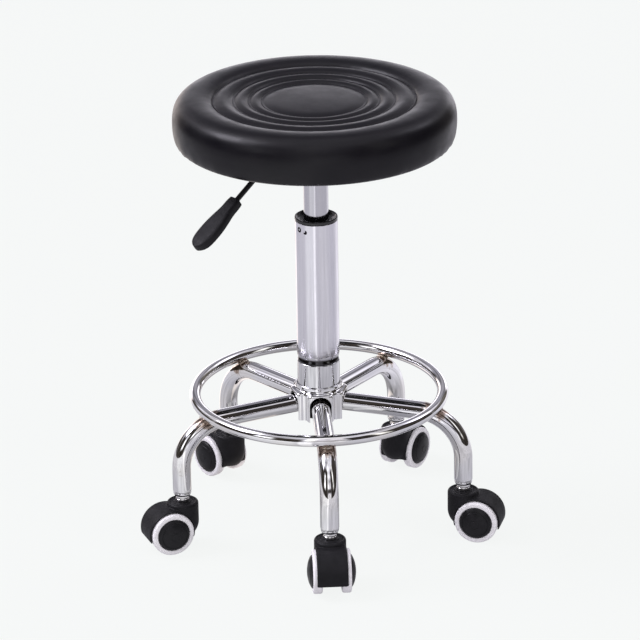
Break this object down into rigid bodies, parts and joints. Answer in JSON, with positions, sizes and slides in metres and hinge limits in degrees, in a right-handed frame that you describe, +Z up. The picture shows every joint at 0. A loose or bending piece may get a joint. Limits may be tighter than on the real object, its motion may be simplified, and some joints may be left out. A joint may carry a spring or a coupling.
{
  "type": "rolling stylist stool",
  "caption": "Round padded stool on a gas lift with a release lever, carried by a chromed star base with a foot ring and twin-wheel swivel casters.",
  "frame": {"origin": "on the floor, under the middle of the whole stool's bounding box; the column's axis is 15.4 mm behind it, towards +Y", "axes": "+Z up along the column; -Y towards the front leg; +X to the right of someone facing the front leg from outside"},
  "size_m": [0.4242, 0.4035, 0.528],
  "materials": {
    "chrome": "mirror-bright chrome plate",
    "satin_chrome": "bright chrome with fine drawn lines",
    "seat_leather": "black leatherette, satin, fine grain",
    "plywood": "raw plywood",
    "black_steel": "black powder coat",
    "zinc_steel": "bright zinc plate",
    "black_plastic": "textured black nylon",
    "grey_tyre": "light grey polyurethane"
  },
  "bodies": {
    "base": {"hub": "chrome", "base_sleeve": "chrome", "foot_ring": "chrome", "leg_1": "chrome", "leg_2": "chrome", "leg_3": "chrome", "leg_4": "chrome", "leg_5": "chrome", "caster_1_stem": "chrome", "caster_2_stem": "chrome", "caster_3_stem": "chrome", "caster_4_stem": "chrome", "caster_5_stem": "chrome", "column_tube": "satin_chrome", "guide_bush": "black_plastic"},
    "piston_rod": {"piston_rod": "zinc_steel", "thrust_bearing": "zinc_steel", "retaining_clip": "zinc_steel"},
    "seat": {"seat_cushion": "seat_leather", "seat_board": "plywood", "mounting_plate": "black_steel", "plate_bolt_1": "zinc_steel", "plate_bolt_2": "zinc_steel", "plate_bolt_3": "zinc_steel", "plate_bolt_4": "zinc_steel", "lever_pivot_pin": "zinc_steel", "pressure_tube": "satin_chrome"},
    "lever": {"lever_rod": "black_steel", "lever_grip": "black_plastic"},
    "button": {"release_button": "zinc_steel"},
    "caster_1": {"caster_1_hood": "black_plastic", "caster_1_axle": "zinc_steel"},
    "wheel_1_left": {"caster_1_core_left": "black_plastic", "caster_1_tyre_left": "grey_tyre"},
    "wheel_1_right": {"caster_1_core_right": "black_plastic", "caster_1_tyre_right": "grey_tyre"},
    "caster_2": {"caster_2_hood": "black_plastic", "caster_2_axle": "zinc_steel"},
    "wheel_2_left": {"caster_2_core_left": "black_plastic", "caster_2_tyre_left": "grey_tyre"},
    "wheel_2_right": {"caster_2_core_right": "black_plastic", "caster_2_tyre_right": "grey_tyre"},
    "caster_3": {"caster_3_hood": "black_plastic", "caster_3_axle": "zinc_steel"},
    "wheel_3_left": {"caster_3_core_left": "black_plastic", "caster_3_tyre_left": "grey_tyre"},
    "wheel_3_right": {"caster_3_core_right": "black_plastic", "caster_3_tyre_right": "grey_tyre"},
    "caster_4": {"caster_4_hood": "black_plastic", "caster_4_axle": "zinc_steel"},
    "wheel_4_left": {"caster_4_core_left": "black_plastic", "caster_4_tyre_left": "grey_tyre"},
    "wheel_4_right": {"caster_4_core_right": "black_plastic", "caster_4_tyre_right": "grey_tyre"},
    "caster_5": {"caster_5_hood": "black_plastic", "caster_5_axle": "zinc_steel"},
    "wheel_5_left": {"caster_5_core_left": "black_plastic", "caster_5_tyre_left": "grey_tyre"},
    "wheel_5_right": {"caster_5_core_right": "black_plastic", "caster_5_tyre_right": "grey_tyre"}
  },
  "joints": [
    {"name": "seat_swivel", "type": "hinge", "parent": "base", "child": "piston_rod", "pos_m": [0, 0.0154, 0.15], "axis": [0, 0, 1], "continuous": true},
    {"name": "height_lift", "type": "slide", "parent": "piston_rod", "child": "seat", "axis": [0, 0, 1], "range_m": [-0.035, 0.085]},
    {"name": "lever_lift", "type": "hinge", "parent": "seat", "child": "lever", "pos_m": [-0.02116, -0.00293, 0.45802], "axis": [-0.6547, 0.7559, 0], "range_deg": [0, 6], "stiffness_Nm_per_rad": 1.5, "springref_deg": -2.86},
    {"name": "button_press", "type": "slide", "parent": "seat", "child": "button", "axis": [0, 0, -1], "range_m": [0, 0.003]},
    {"name": "caster_1_swivel", "type": "hinge", "parent": "base", "child": "caster_1", "pos_m": [0, -0.1553, 0.061], "axis": [0, 0, 1], "continuous": true},
    {"name": "wheel_1_left_spin", "type": "hinge", "parent": "caster_1", "child": "wheel_1_left", "pos_m": [0, -0.1743, 0.025], "axis": [1, 0, 0], "continuous": true},
    {"name": "wheel_1_right_spin", "type": "hinge", "parent": "caster_1", "child": "wheel_1_right", "pos_m": [0, -0.1743, 0.025], "axis": [1, 0, 0], "continuous": true},
    {"name": "caster_2_swivel", "type": "hinge", "parent": "base", "child": "caster_2", "pos_m": [0.16234, -0.03735, 0.061], "axis": [0, 0, 1], "continuous": true},
    {"name": "wheel_2_left_spin", "type": "hinge", "parent": "caster_2", "child": "wheel_2_left", "pos_m": [0.18041, -0.04322, 0.025], "axis": [0.309, 0.9511, 0], "continuous": true},
    {"name": "wheel_2_right_spin", "type": "hinge", "parent": "caster_2", "child": "wheel_2_right", "pos_m": [0.18041, -0.04322, 0.025], "axis": [0.309, 0.9511, 0], "continuous": true},
    {"name": "caster_3_swivel", "type": "hinge", "parent": "base", "child": "caster_3", "pos_m": [-0.16234, -0.03735, 0.061], "axis": [0, 0, 1], "continuous": true},
    {"name": "wheel_3_left_spin", "type": "hinge", "parent": "caster_3", "child": "wheel_3_left", "pos_m": [-0.18041, -0.04322, 0.025], "axis": [0.309, -0.9511, 0], "continuous": true},
    {"name": "wheel_3_right_spin", "type": "hinge", "parent": "caster_3", "child": "wheel_3_right", "pos_m": [-0.18041, -0.04322, 0.025], "axis": [0.309, -0.9511, 0], "continuous": true},
    {"name": "caster_4_swivel", "type": "hinge", "parent": "base", "child": "caster_4", "pos_m": [0.10033, 0.1535, 0.061], "axis": [0, 0, 1], "continuous": true},
    {"name": "wheel_4_left_spin", "type": "hinge", "parent": "caster_4", "child": "wheel_4_left", "pos_m": [0.1115, 0.16887, 0.025], "axis": [-0.809, 0.5878, 0], "continuous": true},
    {"name": "wheel_4_right_spin", "type": "hinge", "parent": "caster_4", "child": "wheel_4_right", "pos_m": [0.1115, 0.16887, 0.025], "axis": [-0.809, 0.5878, 0], "continuous": true},
    {"name": "caster_5_swivel", "type": "hinge", "parent": "base", "child": "caster_5", "pos_m": [-0.10033, 0.1535, 0.061], "axis": [0, 0, 1], "continuous": true},
    {"name": "wheel_5_left_spin", "type": "hinge", "parent": "caster_5", "child": "wheel_5_left", "pos_m": [-0.1115, 0.16887, 0.025], "axis": [-0.809, -0.5878, 0], "continuous": true},
    {"name": "wheel_5_right_spin", "type": "hinge", "parent": "caster_5", "child": "wheel_5_right", "pos_m": [-0.1115, 0.16887, 0.025], "axis": [-0.809, -0.5878, 0], "continuous": true}
  ],
  "couplings": [
    {"joint": "button_press", "follows": "lever_lift", "m_per_rad": 0.028}
  ]
}
